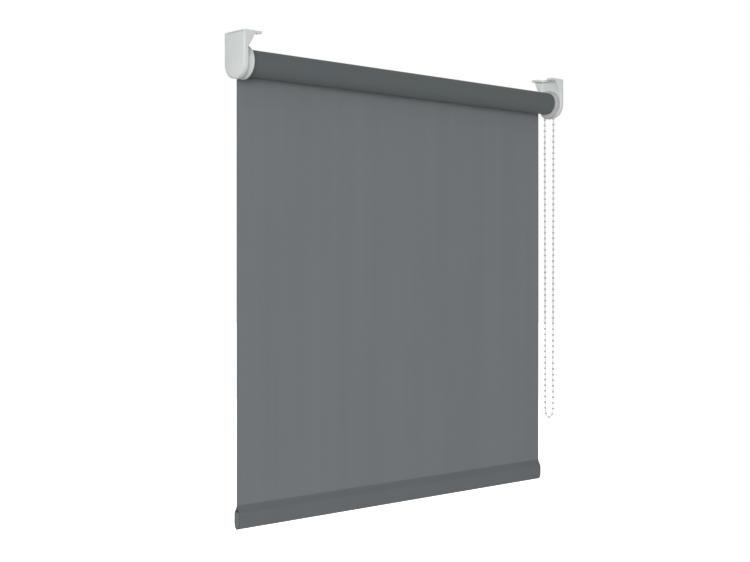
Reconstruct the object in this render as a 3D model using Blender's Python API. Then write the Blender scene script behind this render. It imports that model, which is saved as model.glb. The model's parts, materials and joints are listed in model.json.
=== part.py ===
"""Chain-operated roller blind, fully lowered, with one named object for each piece.

Frame: X runs along the width, +Y points back at the window and +Z up. The origin is the middle of the
fixing edge, where the ceiling plane (Z = 0) meets the plane of the brackets' backs (Y = 0). Every piece is
drawn about the roller's axis and hangs from an empty on that axis; hem pieces hang from an empty at the middle
of the hem. Side -1 is the left (idle) end and side +1 the right (chain) end. Distances called "out" are
measured from the middle of the width towards an end. Lengths are in metres."""

import math

import bmesh
import bpy

# ---------------------------------------------------------------- clearances
GAP = 0.0003  # between pieces that rest on each other or run in each other
CUT_OVER = 0.001  # how far a cutter runs past the wall it cuts

# ---------------------------------------------------------------- fabric
FABRIC_WIDTH = 0.600
FABRIC_DROP = 0.5698  # roller axis to the seam above the hem
FABRIC_THICKNESS = 0.00045
WOUND_THICKNESS = 0.0008  # the wraps left on the tube when the blind is down

# ---------------------------------------------------------------- roller tube
TUBE_RADIUS = 0.016
TUBE_WALL = 0.0012
CHANNEL_SLOT = 0.0044  # width of the slot that holds the fabric's spline
CHANNEL_DEPTH = 0.0026
CHANNEL_WALL = 0.0010
SPLINE_SLACK = 0.0007  # the spline is this much narrower than its slot

# ---------------------------------------------------------------- brackets
BRACKET_DEPTH = 0.042
BRACKET_RISE = 0.0385  # roller axis to the ceiling plane
BRACKET_FOOT_DROP = 0.0015  # roller axis to the centre of the half-round foot
SIDE_THICKNESS = 0.007
END_SPACE = 0.0094  # fabric edge to the side plate
FLANGE_REACH = 0.0285  # from the side plate's outer face
FLANGE_THICKNESS = 0.003
NOTCH_WIDTH = 0.020
NOTCH_DEPTH = 0.0138
NOTCH_CORNER = 0.0025
EAR_HOLE_RADIUS = 0.00225
EAR_HOLE_INSET = 0.0058  # from the flange's free edge
WEB_THICKNESS = 0.003
FRONT_WEB_REACH = 0.0178
FRONT_WEB_DROP = 0.0178
BACK_WEB_REACH = 0.0207
BACK_WEB_DROP = 0.0230
COVER_THICKNESS = 0.0021
COVER_RIM = 0.0016

# ---------------------------------------------------------------- idle end
PIN_RADIUS = 0.0040
PIN_SEAT = 0.0037  # how far the pin reaches into its bracket
PIN_TIP_CHAMFER = 0.0008
PIN_COLLAR_RADIUS = 0.0054
PIN_COLLAR_WIDTH = 0.0020
PIN_TAIL_RADIUS = 0.0017
PIN_TAIL_OVERHANG = 0.004
PLUG_LENGTH = 0.038
PLUG_END_WALL = 0.006
PLUG_RIBS = 6
PLUG_RIB_DEPTH = 0.0016
PLUG_RIB_GROOVE = 0.0040
SPIGOT_RADIUS = 0.0100
SPIGOT_LENGTH = 0.0048
DISC_RADIUS = 0.0220
DISC_BODY_RADIUS = 0.0186
DISC_LIP_WIDTH = 0.0015
PIN_SPRING_WIRE = 0.00045
PIN_SPRING_TURNS = 6

# ---------------------------------------------------------------- chain
BEAD_PITCH = 0.00906
CHAIN_BEAD_RADIUS = 0.00195
CHAIN_TUBE_RADIUS = 0.0012  # plain tube with the mass of cord and beads
CHAIN_STRAND = 0.0089  # each strand's distance from the roller axis at the guard
CHAIN_LOOP_STRAND = 0.0079  # the same near the bottom of the loop
CHAIN_BOTTOM = 0.5010  # roller axis to the lowest point of the loop
CHAIN_END_ANGLE = 1.2  # degrees from the wheel's top to each end of the modelled chain

# ---------------------------------------------------------------- chain drive
WHEEL_POCKETS = 9
WHEEL_CHEEK = 0.0008
WHEEL_SIDE_GAP = 0.0004  # wheel to the face of the clutch core
WHEEL_LIP = 0.0025  # wheel rim beyond the beads' centres
CORE_SEAT_RADIUS = 0.0175
CORE_SEAT_DEPTH = 0.0020
CORE_SQUARE = 0.0090
POST_RADIUS = 0.0065
POST_END_OUT = 0.040  # how far the post's end lies inside the tube's end
CLIP_GROOVE_DEPTH = 0.0010
CLIP_WIDTH = 0.0009
CLIP_RADIUS = 0.0090
CLIP_OPENING = 70  # degrees
CLIP_INSET = 0.0026  # post end to the clip's groove
HUB_LAND = 0.0036  # width of the bearing land at the hub's inner end
HUB_NECK_WALL = 0.0016
TONGUE_THICKNESS = 0.0012
WRAP_SPRING_WIRE = 0.0006
WRAP_SPRING_TURNS = 5
WRAP_SPRING_PITCH = 0.0018
WRAP_SPRING_STARTS = (0.0085, 0.0205)  # inside the tube's end
WHEEL_TONGUE_LENGTH = 0.026
WHEEL_TONGUE_ANGLE = 140  # degrees
HUB_TONGUE_ANGLE = 60  # degrees
GUARD_WALL = 0.0014
GUARD_RADIUS = 0.0204
GUARD_NOSE_RADIUS = 0.0125
GUARD_NOSE_DROP = 0.0119  # roller axis to the centre of the nose's arc
GUARD_EXIT_RADIUS = 0.0027
GUARD_FACE_GAP = 0.0006  # fabric edge to the guard

# ---------------------------------------------------------------- hem
HEM_BAR_HEIGHT = 0.0218
HEM_BAR_HALF_THICKNESS = 0.0044
HEM_BAR_WALL = 0.0012
HEM_BAR_TOP_POWER = 6  # the bar is a superellipse, square-shouldered above its middle
HEM_BAR_FOOT_POWER = 2.2  # and rounder below it
HEM_CLOTH = 0.0005
POCKET_LEAVES_BAR = 0.88  # share of the bar's upper half where the pocket's sides leave it for the seam
HEM_HEIGHT = 0.0308
HEM_CAP_FACE = 0.0022
HEM_CAP_PLUG = 0.010

ROUND_STEPS = 40  # sides of a full turn on most turned pieces
FINE_STEPS = 60  # sides of a full turn on the tube and the wound fabric
COIL_STEPS = 10  # points in one turn of a spring

# ---------------------------------------------------------------- worked out
HALF_WIDTH = FABRIC_WIDTH / 2
HALF_DEPTH = BRACKET_DEPTH / 2
AXIS = (0.0, -HALF_DEPTH, -BRACKET_RISE)
PLATE_OUT = HALF_WIDTH + END_SPACE
OUTER_OUT = PLATE_OUT + SIDE_THICKNESS
COVER_SEAT_OUT = OUTER_OUT - COVER_THICKNESS - GAP
FLANGE_EDGE_OUT = OUTER_OUT - FLANGE_REACH
TUBE_BORE = TUBE_RADIUS - TUBE_WALL
CHANNEL_FLOOR = TUBE_RADIUS - CHANNEL_DEPTH
CHANNEL_UNDERSIDE = CHANNEL_FLOOR - CHANNEL_WALL
CHANNEL_OUTER_WIDTH = CHANNEL_SLOT + 2 * CHANNEL_WALL
KEY_WIDTH = CHANNEL_OUTER_WIDTH + 2 * GAP
KEY_FLOOR = CHANNEL_UNDERSIDE - GAP
INSERT_RADIUS = TUBE_BORE - GAP
ROLL_RADIUS = TUBE_RADIUS + GAP + WOUND_THICKNESS
FABRIC_Y = ROLL_RADIUS + GAP + FABRIC_THICKNESS / 2

WHEEL_PITCH_RADIUS = WHEEL_POCKETS * BEAD_PITCH / (2 * math.pi)
WHEEL_RADIUS = WHEEL_PITCH_RADIUS + WHEEL_LIP
WHEEL_HALF_WIDTH = CHAIN_BEAD_RADIUS + WHEEL_CHEEK
CHAIN_OUT = PLATE_OUT - WHEEL_SIDE_GAP - WHEEL_HALF_WIDTH
WHEEL_BORE = POST_RADIUS + GAP
POCKET_RADIUS = CHAIN_BEAD_RADIUS + GAP
WRAP_SPRING_MEAN = POST_RADIUS + GAP + WRAP_SPRING_WIRE
TONGUE_INNER = WRAP_SPRING_MEAN + WRAP_SPRING_WIRE + GAP
HUB_BORE = TONGUE_INNER + TONGUE_THICKNESS + GAP
HUB_NECK_RADIUS = HUB_BORE + HUB_NECK_WALL
POST_END = HALF_WIDTH - POST_END_OUT
CLIP_GROOVE = POST_END + CLIP_INSET
CLIP_GROOVE_WIDTH = CLIP_WIDTH + 2 * GAP
HUB_END = CLIP_GROOVE + CLIP_GROOVE_WIDTH
HEM_BAR_CENTRE = (HEM_HEIGHT - HEM_CLOTH - GAP) - HEM_BAR_HEIGHT / 2  # below the seam


# ---------------------------------------------------------------- helpers
def clear_scene():
    """Removes whatever the scene holds."""
    for item in list(bpy.data.objects):
        bpy.data.objects.remove(item, do_unlink=True)


def make_material(name, colour, roughness, metallic=0.0):
    """A Principled material with one colour."""
    result = bpy.data.materials.new(name)
    result.use_nodes = True
    shader = result.node_tree.nodes["Principled BSDF"]
    shader.inputs["Base Color"].default_value = (*colour, 1.0)
    shader.inputs["Roughness"].default_value = roughness
    shader.inputs["Metallic"].default_value = metallic
    return result


def add_empty(name, place):
    """An empty that carries pieces, on their joint's axis."""
    empty = bpy.data.objects.new(name, None)
    empty.location = place
    bpy.context.scene.collection.objects.link(empty)
    return empty


def add_object(name, bm, parent, material=None, smooth=False):
    """Turns a bmesh into an object under its parent, with its faces pointing out."""
    bmesh.ops.recalc_face_normals(bm, faces=bm.faces)
    mesh = bpy.data.meshes.new(name)
    bm.to_mesh(mesh)
    bm.free()
    if smooth:
        mesh.shade_smooth()
        mesh.set_sharp_from_angle(angle=math.radians(35))
    if material:
        mesh.materials.append(material)
    piece = bpy.data.objects.new(name, mesh)
    piece.parent = parent
    bpy.context.scene.collection.objects.link(piece)
    return piece


def point_across(axis, along, first, second):
    """A point from its place along an axis and its two coordinates across it, in X, Y, Z order."""
    return {
        "X": (along, first, second),
        "Y": (first, along, second),
        "Z": (first, second, along),
    }[axis]


def prism(outline, start, end, axis="X"):
    """A closed outline, drawn across an axis, extruded along it from start to end."""
    bm = bmesh.new()
    corners = [bm.verts.new(point_across(axis, start, a, b)) for a, b in outline]
    face = bm.faces.new(corners)
    grown = bmesh.ops.extrude_face_region(bm, geom=[face])["geom"]
    moved = [item for item in grown if isinstance(item, bmesh.types.BMVert)]
    bmesh.ops.translate(bm, verts=moved, vec=point_across(axis, end - start, 0, 0))
    return bm


def hollow_prism(outer, inner, start, end):
    """Two outlines with as many points each, extruded along X into a wall that is open at both ends."""
    bm = bmesh.new()
    rings = [
        [bm.verts.new((along, a, b)) for a, b in outline]
        for along, outline in ((start, outer), (end, outer), (end, inner), (start, inner))
    ]
    count = len(outer)
    for ring, following in zip(rings, rings[1:] + rings[:1]):
        for index in range(count):
            after = (index + 1) % count
            bm.faces.new((ring[index], ring[after], following[after], following[index]))
    return bm


def block(x_range, y_range, z_range):
    """A box between two values on each axis."""
    (y0, y1), (z0, z1) = y_range, z_range
    return prism([(y0, z0), (y1, z0), (y1, z1), (y0, z1)], *x_range)


def turned(profile, side=1, steps=ROUND_STEPS):
    """Spins a profile of (out, radius) points about the roller's axis. It closes on itself, unless its ends
    lie on the axis."""
    bm = bmesh.new()
    points = [bm.verts.new((side * out, 0, radius)) for out, radius in profile]
    edges = [bm.edges.new(pair) for pair in zip(points, points[1:])]
    if profile[0][1] > 0:
        edges.append(bm.edges.new((points[-1], points[0])))
    bmesh.ops.spin(
        bm,
        geom=points + edges,
        cent=(0, 0, 0),
        axis=(1, 0, 0),
        angle=2 * math.pi,
        steps=steps,
        use_merge=True,
    )
    bmesh.ops.remove_doubles(bm, verts=bm.verts, dist=1e-7)
    return bm


def ring_profile(out_0, out_1, inner, outer):
    """The profile of a plain ring."""
    return [(out_0, inner), (out_0, outer), (out_1, outer), (out_1, inner)]


def arc(centre, radius, first, last, steps):
    """Points on an arc from one angle to another, in degrees, counted from the first coordinate's axis."""
    angles = [math.radians(first + (last - first) * i / steps) for i in range(steps + 1)]
    return [(centre[0] + radius * math.cos(a), centre[1] + radius * math.sin(a)) for a in angles]


def sector(inner, outer, middle, width, steps=10):
    """The outline of part of a ring, about an angle of its middle, both in degrees."""
    low, high = middle - width / 2, middle + width / 2
    return arc((0, 0), outer, low, high, steps) + arc((0, 0), inner, high, low, steps)


def combine(target, bm, operation):
    """Cuts a bmesh out of an object, or joins it on, with a Boolean modifier."""
    tool = add_object(f"{target.name}_{operation.lower()}_{len(target.modifiers)}", bm, target.parent)
    tool.hide_render = True
    tool.display_type = "WIRE"
    modifier = target.modifiers.new(tool.name, "BOOLEAN")
    modifier.operation = operation
    modifier.object = tool
    return target


def cut(target, bm):
    """Cuts a bmesh out of an object."""
    return combine(target, bm, "DIFFERENCE")


def join(target, bm):
    """Joins a bmesh onto an object."""
    return combine(target, bm, "UNION")


def across(side, first, second):
    """Two distances out, as an ordered range along X on one side."""
    return sorted((side * first, side * second))


def wire(name, points, radius, parent, material, resolution):
    """A round wire through points, as a curve with filled ends."""
    data = bpy.data.curves.new(name, "CURVE")
    data.dimensions = "3D"
    data.bevel_depth = radius
    data.bevel_resolution = resolution
    data.use_fill_caps = True
    spline = data.splines.new("POLY")
    spline.points.add(len(points) - 1)
    for place, point in zip(spline.points, points):
        place.co = (*point, 1.0)
    data.materials.append(material)
    piece = bpy.data.objects.new(name, data)
    piece.parent = parent
    bpy.context.scene.collection.objects.link(piece)
    return piece


def coil(start, length, radius, turns):
    """Points of a coil about the roller's axis, from one place along X."""
    count = turns * COIL_STEPS
    return [
        (
            start + length * i / count,
            radius * math.cos(2 * math.pi * i / COIL_STEPS),
            radius * math.sin(2 * math.pi * i / COIL_STEPS),
        )
        for i in range(count + 1)
    ]


# ---------------------------------------------------------------- brackets
def side_outline(inset):
    """The side plate's outline, moved in by an inset: square at the top and half round at the bottom."""
    radius = HALF_DEPTH - inset
    top = BRACKET_RISE - inset
    return [(radius, top), (-radius, top)] + arc((0, -BRACKET_FOOT_DROP), radius, 180, 360, 24)


def web_outline(side, reach, drop):
    """The outline of a web that braces the flange: it narrows straight from the flange to the side plate."""
    top = BRACKET_RISE - FLANGE_THICKNESS
    root = PLATE_OUT + CUT_OVER
    over = top + CUT_OVER
    edge = OUTER_OUT - reach
    shape = [(root, top - drop), (root, over), (edge, over), (edge, top), (PLATE_OUT, top - drop)]
    return [(side * out, height) for out, height in shape]


def flange_outline(side):
    """The flange seen from above: a plate with a notch, round in its corners, between two ears."""
    half, corner = NOTCH_WIDTH / 2, NOTCH_CORNER
    floor = FLANGE_EDGE_OUT + NOTCH_DEPTH
    points = [(PLATE_OUT + CUT_OVER, -HALF_DEPTH), (FLANGE_EDGE_OUT, -HALF_DEPTH), (FLANGE_EDGE_OUT, -half)]
    points += arc((floor - corner, -half + corner), corner, -90, 0, 4)
    points += arc((floor - corner, half - corner), corner, 0, 90, 4)
    points += [(FLANGE_EDGE_OUT, half), (FLANGE_EDGE_OUT, HALF_DEPTH), (PLATE_OUT + CUT_OVER, HALF_DEPTH)]
    return [(side * out, y) for out, y in points]


def make_bracket(name, side, parent, material):
    """Side plate, flange with two ears, and two webs, with a shallow seat for the cover in its outer face."""
    plate = prism(side_outline(0), *across(side, PLATE_OUT, OUTER_OUT))
    bracket = add_object(name, plate, parent, material)
    under = BRACKET_RISE - FLANGE_THICKNESS
    join(bracket, prism(flange_outline(side), under, BRACKET_RISE, axis="Z"))
    front = web_outline(side, FRONT_WEB_REACH, FRONT_WEB_DROP)
    join(bracket, prism(front, -HALF_DEPTH, -HALF_DEPTH + WEB_THICKNESS, axis="Y"))
    back = web_outline(side, BACK_WEB_REACH, BACK_WEB_DROP)
    join(bracket, prism(back, HALF_DEPTH - WEB_THICKNESS, HALF_DEPTH, axis="Y"))
    cut(bracket, prism(side_outline(COVER_RIM), *across(side, COVER_SEAT_OUT, OUTER_OUT + CUT_OVER)))
    ear_middle = (NOTCH_WIDTH / 2 + HALF_DEPTH) / 2
    for y in (-ear_middle, ear_middle):
        hole = arc((side * (FLANGE_EDGE_OUT + EAR_HOLE_INSET), y), EAR_HOLE_RADIUS, 0, 345, 23)
        cut(bracket, prism(hole, under - CUT_OVER, BRACKET_RISE + CUT_OVER, axis="Z"))
    return bracket


def make_cover(name, side, parent, material):
    """The cap that snaps into the bracket's outer face."""
    plate = prism(side_outline(COVER_RIM + GAP), *across(side, OUTER_OUT - COVER_THICKNESS, OUTER_OUT))
    return add_object(name, plate, parent, material)


def make_brackets(parent, material):
    """Both brackets with their covers. The left one has a round hole for the idle pin, and the right one a
    round seat and a square hole for the clutch core."""
    left = make_bracket("bracket_left", -1, parent, material)
    through = (PLATE_OUT - CUT_OVER, COVER_SEAT_OUT + CUT_OVER)
    pin_hole = arc((0, 0), PIN_RADIUS + GAP, 0, 345, 23)
    cut(left, prism(pin_hole, *across(-1, *through)))
    right = make_bracket("bracket_right", 1, parent, material)
    seat = arc((0, 0), CORE_SEAT_RADIUS, 0, 360 - 360 / ROUND_STEPS, ROUND_STEPS - 1)
    cut(right, prism(seat, PLATE_OUT - CUT_OVER, PLATE_OUT + CORE_SEAT_DEPTH))
    half = CORE_SQUARE / 2 + GAP
    cut(right, block(through, (-half, half), (-half, half)))
    make_cover("bracket_cover_left", -1, parent, material)
    make_cover("bracket_cover_right", 1, parent, material)


# ---------------------------------------------------------------- roller
def make_tube(parent, material):
    """Aluminium tube with a channel along it: its slot holds the fabric's spline, and its back keys the
    ends."""
    profile = ring_profile(-HALF_WIDTH, HALF_WIDTH, TUBE_BORE, TUBE_RADIUS)
    tube = add_object("roller_tube", turned(profile, steps=FINE_STEPS), parent, material, smooth=True)
    length = (-HALF_WIDTH, HALF_WIDTH)
    half = CHANNEL_OUTER_WIDTH / 2
    join(tube, block(length, (-half, half), (CHANNEL_UNDERSIDE, TUBE_BORE + TUBE_WALL / 2)))
    half = CHANNEL_SLOT / 2
    over = (-HALF_WIDTH - CUT_OVER, HALF_WIDTH + CUT_OVER)
    cut(tube, block(over, (-half, half), (CHANNEL_FLOOR, TUBE_RADIUS + CUT_OVER)))


def make_spline(parent, material):
    """The plastic strip that holds the fabric's top edge in the tube's channel."""
    half = (CHANNEL_SLOT - SPLINE_SLACK) / 2
    strip = block(
        (-HALF_WIDTH, HALF_WIDTH), (-half, half), (CHANNEL_FLOOR + GAP, TUBE_RADIUS - GAP)
    )
    add_object("fabric_spline", strip, parent, material)


def make_wound_fabric(parent, material):
    """The wraps that stay on the tube."""
    profile = ring_profile(-HALF_WIDTH, HALF_WIDTH, TUBE_RADIUS + GAP, ROLL_RADIUS)
    add_object("fabric_roll", turned(profile, steps=FINE_STEPS), parent, material, smooth=True)


def cut_keyway(piece, side, out_0, out_1):
    """Cuts the groove in an insert that clears the back of the tube's channel."""
    half = KEY_WIDTH / 2
    keyway = block(across(side, out_0, out_1), (-half, half), (KEY_FLOOR, INSERT_RADIUS + CUT_OVER))
    cut(piece, keyway)


# ---------------------------------------------------------------- idle end
def make_idle_end(parent, plastic, steel):
    """Plug, guard disc, sprung pin and its spring, in the left end of the tube."""
    plug_inner = HALF_WIDTH - PLUG_LENGTH
    seat_out = HALF_WIDTH - SPIGOT_LENGTH
    chamber = PIN_COLLAR_RADIUS + GAP
    tail_hole = PIN_TAIL_RADIUS + GAP
    profile = [
        (HALF_WIDTH, INSERT_RADIUS),
        (HALF_WIDTH, SPIGOT_RADIUS + GAP),
        (seat_out, SPIGOT_RADIUS + GAP),
        (seat_out, chamber),
        (plug_inner + PLUG_END_WALL, chamber),
        (plug_inner + PLUG_END_WALL, tail_hole),
        (plug_inner, tail_hole),
        (plug_inner, INSERT_RADIUS),
    ]
    plug = add_object("idle_plug", turned(profile, -1), parent, plastic, smooth=True)
    cut_keyway(plug, -1, plug_inner - CUT_OVER, HALF_WIDTH + CUT_OVER)
    cut_rib_grooves(plug, -1, plug_inner)

    spigot_end = seat_out + GAP
    profile = [
        (PLATE_OUT - GAP, PIN_RADIUS + GAP),
        (PLATE_OUT - GAP, DISC_BODY_RADIUS),
        (HALF_WIDTH + GAP + DISC_LIP_WIDTH, DISC_BODY_RADIUS),
        (HALF_WIDTH + GAP + DISC_LIP_WIDTH, DISC_RADIUS),
        (HALF_WIDTH + GAP, DISC_RADIUS),
        (HALF_WIDTH + GAP, SPIGOT_RADIUS),
        (spigot_end, SPIGOT_RADIUS),
        (spigot_end, PIN_RADIUS + GAP),
    ]
    add_object("idle_guard_disc", turned(profile, -1), parent, plastic, smooth=True)

    tip = PLATE_OUT + PIN_SEAT
    collar_out = spigot_end - GAP
    collar_in = collar_out - PIN_COLLAR_WIDTH
    profile = [
        (tip, 0),
        (tip, PIN_RADIUS - PIN_TIP_CHAMFER),
        (tip - PIN_TIP_CHAMFER, PIN_RADIUS),
        (collar_out, PIN_RADIUS),
        (collar_out, PIN_COLLAR_RADIUS),
        (collar_in, PIN_COLLAR_RADIUS),
        (collar_in, PIN_TAIL_RADIUS),
        (plug_inner - PIN_TAIL_OVERHANG, PIN_TAIL_RADIUS),
        (plug_inner - PIN_TAIL_OVERHANG, 0),
    ]
    add_object("idle_pin", turned(profile, -1, 32), parent, steel, smooth=True)

    spring_first = collar_in - GAP - PIN_SPRING_WIRE
    spring_last = plug_inner + PLUG_END_WALL + GAP + PIN_SPRING_WIRE
    radius = chamber - GAP - PIN_SPRING_WIRE
    points = coil(-spring_first, spring_first - spring_last, radius, PIN_SPRING_TURNS)
    wire("idle_pin_spring", points, PIN_SPRING_WIRE, parent, steel, 1)


def cut_rib_grooves(piece, side, inner):
    """Cuts shallow grooves along an insert's outside, so that ribs are left to grip the tube. The first one
    lies opposite the keyway."""
    half = PLUG_RIB_GROOVE / 2
    floor = INSERT_RADIUS - PLUG_RIB_DEPTH
    over = INSERT_RADIUS + CUT_OVER
    for i in range(1, PLUG_RIBS):
        angle = math.pi / 2 + 2 * math.pi * i / PLUG_RIBS
        length = across(side, inner - CUT_OVER, HALF_WIDTH - 2 * PLUG_RIB_DEPTH)
        groove = block(length, (-half, half), (floor, over))
        turn = angle - math.pi / 2
        for vertex in groove.verts:
            y, z = vertex.co.y, vertex.co.z
            vertex.co.y = y * math.cos(turn) - z * math.sin(turn)
            vertex.co.z = y * math.sin(turn) + z * math.cos(turn)
        cut(piece, groove)


# ---------------------------------------------------------------- chain drive
def make_clutch_core(parent, material):
    """The fixed core: a disc and a square boss that lock into the right bracket, and the post that the wheel,
    the springs and the hub run on."""
    face = PLATE_OUT + GAP / 2
    back = PLATE_OUT + CORE_SEAT_DEPTH - GAP
    groove_out = CLIP_GROOVE + CLIP_GROOVE_WIDTH
    profile = [
        (back, 0),
        (back, CORE_SEAT_RADIUS - GAP),
        (face, CORE_SEAT_RADIUS - GAP),
        (face, POST_RADIUS),
        (groove_out, POST_RADIUS),
        (groove_out, POST_RADIUS - CLIP_GROOVE_DEPTH),
        (CLIP_GROOVE, POST_RADIUS - CLIP_GROOVE_DEPTH),
        (CLIP_GROOVE, POST_RADIUS),
        (POST_END, POST_RADIUS),
        (POST_END, 0),
    ]
    core = add_object("clutch_core", turned(profile), parent, material, smooth=True)
    half = CORE_SQUARE / 2
    boss = (back - CUT_OVER, COVER_SEAT_OUT - GAP)
    join(core, block(boss, (-half, half), (-half, half)))


def make_chain_wheel(parent, material):
    """The pocket wheel, with a tongue that reaches along the springs to release them."""
    low, high = CHAIN_OUT - WHEEL_HALF_WIDTH, CHAIN_OUT + WHEEL_HALF_WIDTH
    floor = WHEEL_PITCH_RADIUS - CHAIN_TUBE_RADIUS - GAP
    groove = CHAIN_TUBE_RADIUS + GAP
    profile = [
        (low, WHEEL_BORE),
        (low, WHEEL_RADIUS),
        (CHAIN_OUT - groove, WHEEL_RADIUS),
        (CHAIN_OUT - groove, floor),
        (CHAIN_OUT + groove, floor),
        (CHAIN_OUT + groove, WHEEL_RADIUS),
        (high, WHEEL_RADIUS),
        (high, WHEEL_BORE),
    ]
    wheel = add_object("chain_wheel", turned(profile), parent, material, smooth=True)
    outline = sector(TONGUE_INNER, TONGUE_INNER + TONGUE_THICKNESS, -90, WHEEL_TONGUE_ANGLE)
    join(wheel, prism(outline, low - WHEEL_TONGUE_LENGTH, low + WHEEL_CHEEK))
    pockets = bmesh.new()
    for i in range(WHEEL_POCKETS):
        angle = 2 * math.pi * i / WHEEL_POCKETS
        made = bmesh.ops.create_uvsphere(pockets, u_segments=8, v_segments=6, radius=POCKET_RADIUS)
        place = (
            CHAIN_OUT, WHEEL_PITCH_RADIUS * math.sin(angle), WHEEL_PITCH_RADIUS * math.cos(angle)
        )
        bmesh.ops.translate(pockets, verts=made["verts"], vec=place)
    cut(wheel, pockets)


def make_drive_hub(parent, material):
    """The hub that turns the tube, with a tongue of its own between the springs' ends."""
    wheel_side = CHAIN_OUT - WHEEL_HALF_WIDTH - GAP
    profile = [
        (HUB_END, WHEEL_BORE),
        (HUB_END, INSERT_RADIUS),
        (HALF_WIDTH, INSERT_RADIUS),
        (HALF_WIDTH, HUB_NECK_RADIUS),
        (wheel_side, HUB_NECK_RADIUS),
        (wheel_side, HUB_BORE),
        (HUB_END + HUB_LAND, HUB_BORE),
        (HUB_END + HUB_LAND, WHEEL_BORE),
    ]
    hub = add_object("drive_hub", turned(profile), parent, material, smooth=True)
    cut_keyway(hub, 1, HUB_END - CUT_OVER, HALF_WIDTH + CUT_OVER)
    cut_rib_grooves(hub, 1, HUB_END)
    outline = sector(TONGUE_INNER, HUB_BORE + TONGUE_THICKNESS, 90, HUB_TONGUE_ANGLE)
    join(hub, prism(outline, HUB_END + HUB_LAND - GAP, wheel_side - WHEEL_CHEEK))


def make_wrap_springs(parent, material):
    """The two brake springs that grip the post."""
    for number, inset in enumerate(WRAP_SPRING_STARTS, 1):
        length = WRAP_SPRING_TURNS * WRAP_SPRING_PITCH
        points = coil(HALF_WIDTH - inset - length, length, WRAP_SPRING_MEAN, WRAP_SPRING_TURNS)
        wire(f"wrap_spring_{number}", points, WRAP_SPRING_WIRE, parent, material, 1)


def make_clip(parent, material):
    """The open spring clip that keeps the hub on the post."""
    inner = POST_RADIUS - CLIP_GROOVE_DEPTH + GAP
    outline = sector(inner, CLIP_RADIUS, 90, 360 - CLIP_OPENING, 28)
    start = CLIP_GROOVE + GAP
    add_object("retaining_clip", prism(outline, start, start + CLIP_WIDTH), parent, material)


def guard_outline(inset):
    """The chain guard seen along the axis: a round body that narrows to a nose where the chain hangs out."""
    body, nose = GUARD_RADIUS - inset, GUARD_NOSE_RADIUS - inset
    lean = math.degrees(math.asin((GUARD_RADIUS - GUARD_NOSE_RADIUS) / GUARD_NOSE_DROP))
    upper = arc((0, 0), body, -lean, 180 + lean, 30)
    return upper + arc((0, -GUARD_NOSE_DROP), nose, 180 + lean, 360 - lean, 14)


def make_chain_guard(parent, material):
    """The shell round the wheel, open towards the bracket, with two holes for the chain in its nose."""
    near = HALF_WIDTH + GUARD_FACE_GAP
    far = PLATE_OUT - GAP
    guard = add_object("chain_guard", prism(guard_outline(0), near, far), parent, material, smooth=True)
    cut(guard, prism(guard_outline(GUARD_WALL), near + GUARD_WALL, far + CUT_OVER))
    hub_hole = arc((0, 0), HUB_NECK_RADIUS + GAP, 0, 350, 35)
    cut(guard, prism(hub_hole, near - CUT_OVER, near + GUARD_WALL + CUT_OVER))
    low = -GUARD_NOSE_DROP - GUARD_NOSE_RADIUS - CUT_OVER
    for y in (-CHAIN_STRAND, CHAIN_STRAND):
        exit_hole = arc((CHAIN_OUT, y), GUARD_EXIT_RADIUS, 0, 345, 23)
        cut(guard, prism(exit_hole, low, -GUARD_NOSE_DROP, axis="Z"))


# ---------------------------------------------------------------- bead chain
def chain_half_route():
    """One half of the chain's loop, as (y, z, steps to the next point): from the wheel's top, round the
    wheel, out of the guard, down its strand and to the bottom of the loop."""
    route = []
    for angle in (CHAIN_END_ANGLE, 27, 53, 79, 103):
        turn = math.radians(angle)
        route.append((WHEEL_PITCH_RADIUS * math.sin(turn), WHEEL_PITCH_RADIUS * math.cos(turn), 2))
    strand, loop, bottom = CHAIN_STRAND, CHAIN_LOOP_STRAND, CHAIN_BOTTOM
    route += [
        (strand + 0.0009, -0.0150, 2),
        (strand + 0.0001, -0.0195, 2),
        (strand, -0.0270, 1),
        (strand, -0.0500, 4),
        (strand - 0.0003, -0.1700, 4),
        (strand - 0.0006, -0.3000, 4),
        (loop + 0.0001, 0.0850 - bottom, 3),
        (loop, 0.0180 - bottom, 2),
        (loop - 0.0008, 0.0068 - bottom, 2),
        (loop - 0.0045, 0.0009 - bottom, 2),
        (0, -bottom, 0),
    ]
    return route


def smooth_between(before, start, end, after, share):
    """A point on a smooth curve from start to end, which also looks at the points on either side. Each point
    weighs in by the root of its distance, so that uneven points make no loops."""
    times = [0.0]
    points = (before, start, end, after)
    for a, b in zip(points, points[1:]):
        times.append(times[-1] + max(math.sqrt(math.dist(a, b)), 1e-6))
    moment = times[1] + (times[2] - times[1]) * share

    def mix(a, b, low, high):
        weight = (moment - low) / (high - low)
        return tuple(p + (q - p) * weight for p, q in zip(a, b))

    first = mix(before, start, times[0], times[1])
    middle = mix(start, end, times[1], times[2])
    last = mix(end, after, times[2], times[3])
    left = mix(first, middle, times[0], times[2])
    right = mix(middle, last, times[1], times[3])
    return mix(left, right, times[1], times[2])


def chain_points():
    """The whole loop's points, close together where it bends."""
    half = chain_half_route()
    mirrored = [(-y, z) for y, z, _ in reversed(half[:-1])]
    route = [(y, z) for y, z, _ in half] + mirrored
    steps = [count for _, _, count in half[:-1]]
    steps += steps[::-1]
    ends = [(2 * route[0][0] - route[1][0], route[1][1]), (2 * route[-1][0] - route[-2][0], route[-2][1])]
    padded = [ends[0]] + route + [ends[1]]
    points = []
    for i, count in enumerate(steps):
        for step in range(count):
            points.append(smooth_between(*padded[i : i + 4], step / count))
    points.append(route[-1])
    return [(CHAIN_OUT, y, z) for y, z in points]


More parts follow.
